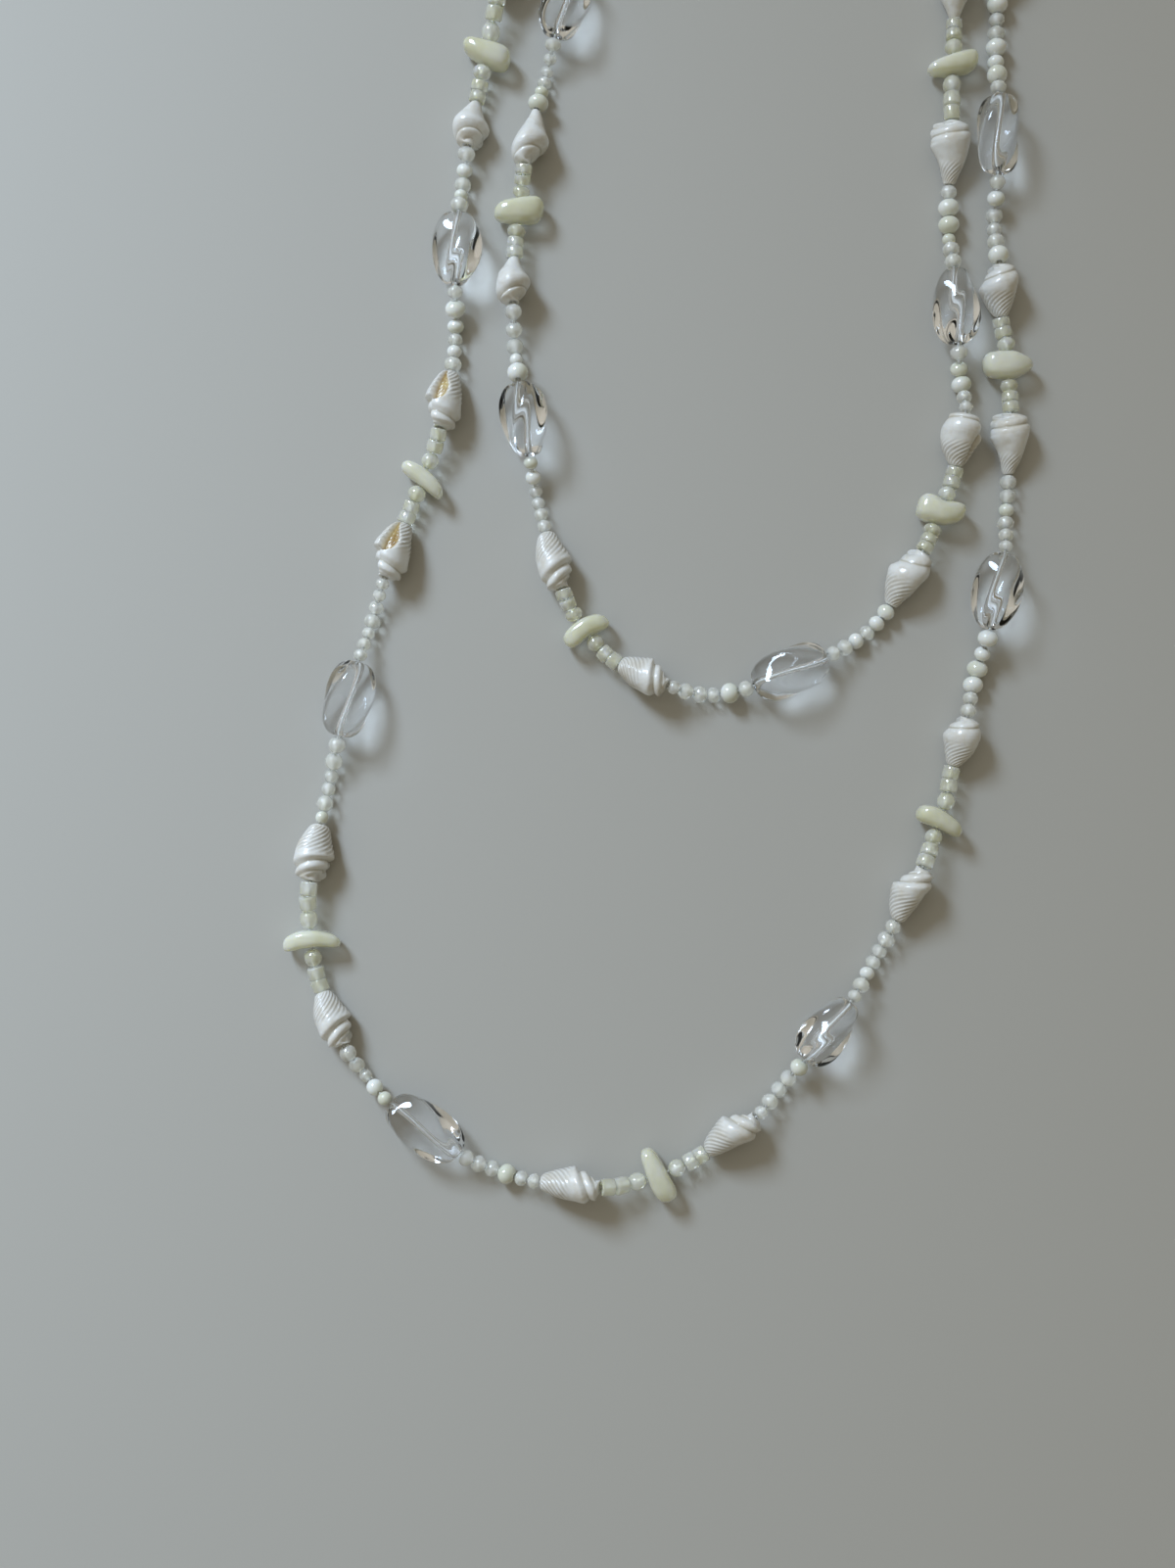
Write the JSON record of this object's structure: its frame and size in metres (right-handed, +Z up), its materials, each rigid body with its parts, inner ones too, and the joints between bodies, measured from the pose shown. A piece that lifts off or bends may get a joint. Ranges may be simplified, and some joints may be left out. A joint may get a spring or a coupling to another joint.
{
  "type": "beaded necklace",
  "caption": "Long closed rope necklace of clear twisted glass ovals, small conch shells, pale stone chips and round seed beads, laid on a surface in two loose turns.",
  "frame": {"origin": "middle of the laid necklace's bounding box, on the surface that it lies on", "axes": "+Y along the longer way of the laid loops, from the open front end towards the back of the neck, +X to the right, +Z up from the surface"},
  "size_m": [0.1526, 0.3102, 0.0098],
  "materials": {
    "clear_glass": "polished",
    "shell": "satin shell",
    "pale_stone": "polished stone",
    "small_beads": "pearly glass"
  },
  "bodies": {
    "root": {"bead_string_outer": "small_beads", "bead_string_inner": "small_beads", "glass_01": "clear_glass", "glass_02": "clear_glass", "glass_03": "clear_glass", "glass_04": "clear_glass", "glass_05": "clear_glass", "glass_06": "clear_glass", "glass_07": "clear_glass", "glass_08": "clear_glass", "glass_09": "clear_glass", "glass_10": "clear_glass", "glass_11": "clear_glass", "glass_12": "clear_glass", "glass_13": "clear_glass", "shell_01": "shell", "shell_02": "shell", "shell_03": "shell", "shell_04": "shell", "shell_05": "shell", "shell_06": "shell", "shell_07": "shell", "shell_08": "shell", "shell_09": "shell", "shell_10": "shell", "shell_11": "shell", "shell_12": "shell", "shell_13": "shell", "shell_14": "shell", "shell_15": "shell", "shell_16": "shell", "shell_17": "shell", "shell_18": "shell", "shell_19": "shell", "shell_20": "shell", "shell_21": "shell", "shell_22": "shell", "shell_23": "shell", "shell_24": "shell", "shell_25": "shell", "shell_26": "shell", "chip_01": "pale_stone", "chip_02": "pale_stone", "chip_03": "pale_stone", "chip_04": "pale_stone", "chip_05": "pale_stone", "chip_06": "pale_stone", "chip_07": "pale_stone", "chip_08": "pale_stone", "chip_09": "pale_stone", "chip_10": "pale_stone", "chip_11": "pale_stone", "chip_12": "pale_stone", "chip_13": "pale_stone"}
  },
  "joints": []
}
